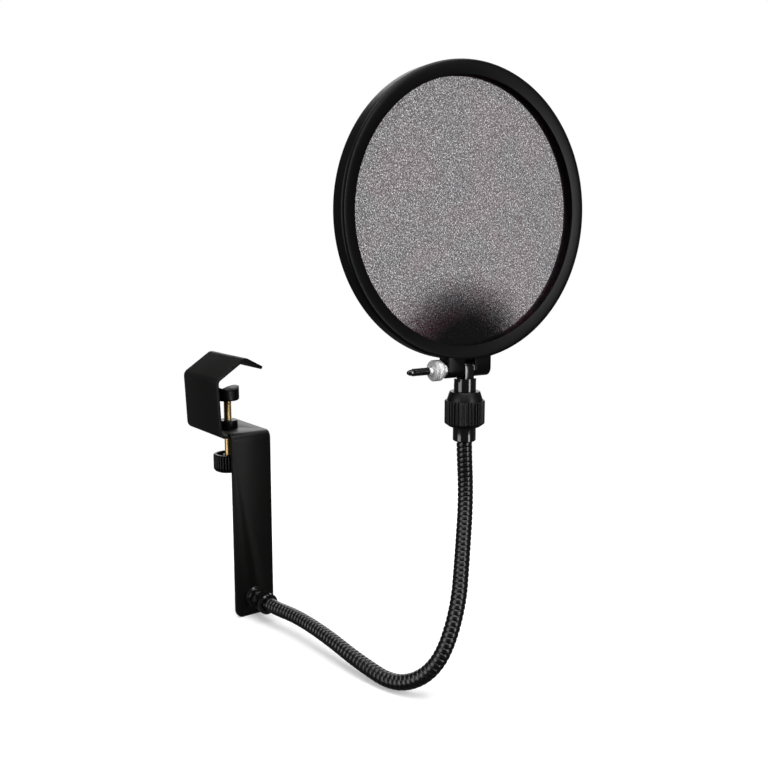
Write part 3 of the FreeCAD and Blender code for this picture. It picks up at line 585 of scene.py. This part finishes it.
def fused(first, second, operation="UNION"):
    """Two closed solids made one, or the second cut out of the first."""
    holders = []
    for bm in (first, second):
        mesh = bpy.data.meshes.new("solid")
        bm.to_mesh(mesh)
        bm.free()
        holder = bpy.data.objects.new("solid", mesh)
        bpy.context.scene.collection.objects.link(holder)
        holders.append(holder)
    boolean = holders[0].modifiers.new("join", "BOOLEAN")
    boolean.operation = operation
    boolean.solver = "EXACT"
    boolean.object = holders[1]
    bpy.context.view_layer.update()
    ready = holders[0].evaluated_get(bpy.context.evaluated_depsgraph_get())
    joined = bmesh.new()
    joined.from_mesh(ready.to_mesh())
    ready.to_mesh_clear()
    for holder in holders:
        mesh = holder.data
        bpy.data.objects.remove(holder)
        bpy.data.meshes.remove(mesh)
    return joined


seat = SCREEN_SETBACK + 2 * SCREEN_GAUGE + RING_GAUGE
inner = HOOP_RADIUS - HOOP_WALL
roll = [(HOOP_RADIUS - RIM_ROLL * (1 - math.sin(a)), RIM_ROLL * (1 - math.cos(a))) for a in
        [math.radians(15 * k) for k in range(7)]]
hoop = turn([(inner, LIP_BACK), (LIP_OPENING + 0.6, LIP_BACK), (LIP_OPENING, LIP_BACK - 0.7),
             (LIP_OPENING + 0.5, 0.9), (inner, 0.25)] + roll + [
    (HOOP_RADIUS, HOOP_DEPTH - 0.6), (HOOP_RADIUS - 0.6, HOOP_DEPTH), (inner - REAR_LIP, HOOP_DEPTH),
    (inner - REAR_LIP, seat), (inner, seat)], 240, closed=True)
round_corners(hoop, 0.15, degrees=50)

for side in (1, -1):
    inner_face, outer_face = sorted((EAR_GAP / 2 * side, (EAR_GAP / 2 + EAR_WIDTH) * side))
    ear = block((inner_face, HOOP_RADIUS - EAR_SUNK, HOOP_FRONT - EAR_DEPTH / 2),
                (outer_face, HOOP_RISE + EAR_DEPTH / 2, HOOP_FRONT + EAR_DEPTH / 2))
    lower = [e for e in ear.edges if all(v.co.y > HOOP_RISE * MM for v in e.verts)
             and abs(e.verts[0].co.x - e.verts[1].co.x) > MM]
    bmesh.ops.bevel(ear, geom=lower, offset=EAR_DEPTH / 2 * 0.98 * MM, offset_type="OFFSET", affect="EDGES",
                    segments=10, profile=0.5, material=-1, clamp_overlap=True)
    round_corners(ear, 0.35, degrees=50, segments=3)
    if side > 0:
        recess = block((inner_face + EAR_BORDER, HOOP_RADIUS, -1),
                       (outer_face - 0.4, HOOP_RISE + EAR_DEPTH / 2 - EAR_BORDER,
                        HOOP_FRONT - EAR_DEPTH / 2 + 0.5))
        ear = fused(ear, recess, "DIFFERENCE")
    hoop = fused(hoop, ear)
set_down(hoop, HOOP)
add_piece("hoop_moulded", hoop, abs_plastic, "head", "moulded_black", "hoop")

# The screens: two discs of black knitted nylon, stretched over the two faces of a flat black ring.
# Light passes between the threads, so the knit reads as a grey speckle with a trace of mauve.

SCREEN_RADIUS = 72.9
RING_OPENING = 68.6
FRONT_THREAD = 0.52
REAR_THREAD = 0.48
REAR_KNIT_TURNED = math.radians(7)
DYE_PATCH = 22
SHADED_AT = (0.004, 0, -0.078)
SHADED_REACH = 0.052


def knitted_mesh(name, turned_by, thread_pitch):
    """Nylon knit: columns of loops a thread pitch apart, drawn coarser than the real knit so that it
    shows, with thick and thin places and slow drifts of dye. Low down, above the hoop's ears, a soft
    round patch of painted shade makes it more opaque and near black."""
    material, tree, place = new_material(name)
    material.surface_render_method = "DITHERED"
    laid = add_node(tree, "ShaderNodeMapping", {
        "vector_type": "TEXTURE", "Location": HOOP.translation, "Rotation": (0, turned_by, HEAD_TURN)},
        {"Vector": place})
    fibre = add_node(tree, "ShaderNodeTexNoise", {
        "Scale": 1 / (thread_pitch * MM), "Detail": 2.0, "Roughness": 0.7}, {"Vector": laid.outputs[0]})
    squeeze = add_node(tree, "ShaderNodeMapping", {"Scale": (1.0, 1.0, 0.45)}, {"Vector": laid.outputs[0]})
    columns = add_node(tree, "ShaderNodeTexNoise", {
        "Scale": 1 / (0.8 * thread_pitch * MM), "Detail": 1.0}, {"Vector": squeeze.outputs[0]})
    knit = add_node(tree, "ShaderNodeMath", {"operation": "ADD"},
                    {0: fibre.outputs[0], 1: columns.outputs[0]})
    # Painted shade: a soft round patch low on the screen raises the cover and darkens the threads towards
    # near black.
    low_spot = add_node(tree, "ShaderNodeVectorMath", {"operation": "DISTANCE", 1: SHADED_AT},
                        {0: laid.outputs[0]})
    painted_shade_patch = add_node(tree, "ShaderNodeMapRange", {
        "interpolation_type": "SMOOTHSTEP", "From Min": 0.0, "From Max": SHADED_REACH,
        "To Min": 0.9, "To Max": 0.0},
        {"Value": low_spot.outputs["Value"]})
    cover = add_node(tree, "ShaderNodeMapRange", {
        "From Min": 0.89, "From Max": 1.14, "To Min": 0.0, "To Max": 0.66}, {"Value": knit.outputs[0]})
    total = add_node(tree, "ShaderNodeMath", {"operation": "ADD", "use_clamp": True},
                     {0: cover.outputs[0], 1: painted_shade_patch.outputs[0]})
    tint = add_node(tree, "ShaderNodeValToRGB", {}, {"Fac": fibre.outputs[0]})
    tint.color_ramp.elements[0].color = linear("#2a161d")
    tint.color_ramp.elements[1].color = linear("#62434e")
    dyes = add_node(tree, "ShaderNodeTexNoise", {"Scale": 1 / (DYE_PATCH * MM), "Detail": 1.0},
                    {"Vector": place})
    cool = add_node(tree, "ShaderNodeMapRange", {"From Min": 0.42, "From Max": 0.62, "To Max": 0.7},
                    {"Value": dyes.outputs[0]})
    dyed = add_node(tree, "ShaderNodeMix", {"data_type": "RGBA", 7: linear("#2e3338")}, {
        0: cool.outputs[0], 6: tint.outputs[0]})
    # The painted shade patch mixes the thread colour towards near black.
    depth_of_shade = add_node(tree, "ShaderNodeMath", {"operation": "MULTIPLY", "use_clamp": True, 1: 1.9},
                              {0: painted_shade_patch.outputs[0]})
    shaded = add_node(tree, "ShaderNodeMix", {"data_type": "RGBA", 7: linear("#050404")}, {
        0: depth_of_shade.outputs[0], 6: dyed.outputs[2]})
    surface(tree, add_node(tree, "ShaderNodeBsdfPrincipled", {
        "Roughness": 0.6, "Specular IOR Level": 0.1, "Sheen Weight": 0.03, "Sheen Roughness": 0.4},
        {"Base Color": shaded.outputs[2], "Alpha": total.outputs[0]}))
    return material


front_knit = knitted_mesh("front_knitted_nylon", 0.0, FRONT_THREAD)
rear_knit = knitted_mesh("rear_knitted_nylon", REAR_KNIT_TURNED, REAR_THREAD)
for node, material, depth in (("front_screen", front_knit, SCREEN_SETBACK),
                              ("rear_screen", rear_knit, SCREEN_SETBACK + SCREEN_GAUGE + RING_GAUGE)):
    rings = [SCREEN_RADIUS * k / 6 for k in range(1, 7)]
    profile = [(0, depth)] + [(r, depth) for r in rings]
    profile += [(r, depth + SCREEN_GAUGE) for r in reversed(rings)] + [(0, depth + SCREEN_GAUGE)]
    disc = set_down(turn(profile, 192), HOOP)
    screen = add_piece(node + "_knitted", disc, material, "head", "mesh", node)

ring_front = SCREEN_SETBACK + SCREEN_GAUGE
ring_back = ring_front + RING_GAUGE
ring = turn([(RING_OPENING, ring_front), (SCREEN_RADIUS, ring_front), (SCREEN_RADIUS, ring_back),
             (RING_OPENING, ring_back)], 192, closed=True)
round_corners(ring, 0.2, degrees=50)
add_piece("screen_ring_moulded", set_down(ring, HOOP), abs_plastic, "head", "moulded_black", "screen_ring")

# The tilt pivot: a black-plated hex bolt through both ears and the stem's tongue, white nylon
# washers in the gaps, and outside the left ear a zinc-plated washer and a knurled aluminium nut.

EAR_FACE = EAR_GAP / 2 + EAR_WIDTH
BOLT_RADIUS = 2.0
BOLT_PITCH = 0.7
BOLT_HEAD_OUT = 0.4
BOLT_REACH = 23.0
BOLT_HEAD_ACROSS = 7.0
BOLT_HEAD_THICK = 3.0
BOLT_TIP = 3.0
BOLT_SPAN = 2 * EAR_FACE + BOLT_REACH + BOLT_HEAD_OUT
ALONG_BOLT = HEAD @ Matrix.Rotation(-math.pi / 2, 4, "Y")

shank = [(0, 1.0)] + [(BOLT_RADIUS, z) for z in stations(1.0, BOLT_SPAN - BOLT_TIP - 0.4, 0.14)]
shank += [(BOLT_RADIUS - 0.35, BOLT_SPAN - BOLT_TIP), (BOLT_RADIUS - 0.45, BOLT_SPAN - 1.6),
          (BOLT_RADIUS - 1.1, BOLT_SPAN - 0.4), (0, BOLT_SPAN)]
bolt = turn(shank, 32)
push_in(bolt, thread(BOLT_PITCH, 0.3, BOLT_RADIUS), 1.2, BOLT_SPAN - 3.6)
head = bmesh.new()
bmesh.ops.create_cone(head, cap_ends=True, segments=6, radius1=BOLT_HEAD_ACROSS / math.sqrt(3) * MM,
                      radius2=BOLT_HEAD_ACROSS / math.sqrt(3) * MM, depth=BOLT_HEAD_THICK * MM,
                      matrix=raised(BOLT_HEAD_THICK / 2))
round_corners(head, 0.2, degrees=40)
bolt = set_down(fused(bolt, head), ALONG_BOLT @ raised(-(EAR_FACE + BOLT_HEAD_OUT)))
add_piece("pivot_bolt_plated", bolt, black_plate, "head", "blackened_steel", "pivot_bolt")

white_nylon, tree, place = new_material("natural_nylon")
cloud = add_node(tree, "ShaderNodeTexNoise", {"Scale": 1 / (1 * MM), "Detail": 2.0}, {"Vector": place})
milky = add_node(tree, "ShaderNodeMapRange", {"To Min": 0.35, "To Max": 0.5}, {"Value": cloud.outputs[0]})
surface(tree, add_node(tree, "ShaderNodeBsdfPrincipled", {
    "Base Color": linear("#dcd8cc"), "Subsurface Weight": 0.1}, {"Roughness": milky.outputs[0]}))
set_material(nodes["friction_washers"], white_nylon)

WASHER = EAR_FACE + 0.02
WASHER_HOLE = 2.15
WASHER_RADIUS = 4.1
WASHER_GAUGE = 1.2
washer = turn([(WASHER_HOLE, 0), (WASHER_RADIUS, 0), (WASHER_RADIUS, WASHER_GAUGE),
               (WASHER_HOLE, WASHER_GAUGE)], 64, closed=True)
round_corners(washer, 0.22, degrees=50, segments=3)
set_down(washer, ALONG_BOLT @ raised(WASHER))
add_piece("steel_washer_plated", washer, zinc, "washer", "zinc_steel", "steel_washer")

aluminium, tree, place = new_material("turned_aluminium")
lustre = add_node(tree, "ShaderNodeTexNoise", {"Scale": 1 / (0.8 * MM), "Detail": 3.0}, {"Vector": place})
bright = add_node(tree, "ShaderNodeMapRange", {"To Min": 0.3, "To Max": 0.4}, {"Value": lustre.outputs[0]})
surface(tree, add_node(tree, "ShaderNodeBsdfPrincipled", {"Base Color": linear("#dcdcdc"), "Metallic": 0.5},
                       {"Roughness": bright.outputs[0]}))

KNURL_RADIUS = 5.6
KNURLS = 40
KNURL_PITCH = 0.82
KNURL_DEPTH = 0.4
TILT_NUT_BORE = 2.05
TILT_NUT_COLLAR = 4.0
TILT_NUT_BOSS = 2.4


def diamond_knurl(angle, height, at):
    """Two crossing sets of shallow grooves."""
    if at < KNURL_RADIUS - 0.02:
        return 0
    waves = [abs(math.sin(KNURLS * angle / 2 + hand * math.pi * height / KNURL_PITCH)) for hand in (1, -1)]
    return KNURL_DEPTH * (1 - min(waves)) ** 2


tilt_profile = [(TILT_NUT_BORE, 1.24), (TILT_NUT_COLLAR, 1.24), (TILT_NUT_COLLAR, 2.8)]
tilt_profile += [(KNURL_RADIUS - 0.5, 2.8)]
tilt_profile += [(KNURL_RADIUS, z) for z in stations(3.3, 7.2, 0.2)]
tilt_profile += [(KNURL_RADIUS - 0.5, 7.7), (2.5, 7.7), (TILT_NUT_BOSS, 7.8), (TILT_NUT_BOSS, 9.8)]
tilt_profile += [(2.2, 10.1), (TILT_NUT_BORE, 10.1)]
tilt_nut = turn(tilt_profile, 200, closed=True)
push_in(tilt_nut, diamond_knurl, 3.25, 7.25)
set_down(tilt_nut, ALONG_BOLT @ raised(EAR_FACE))
add_piece("tilt_nut_knurled", tilt_nut, aluminium, "tilt_nut", "aluminium", "tilt_nut")
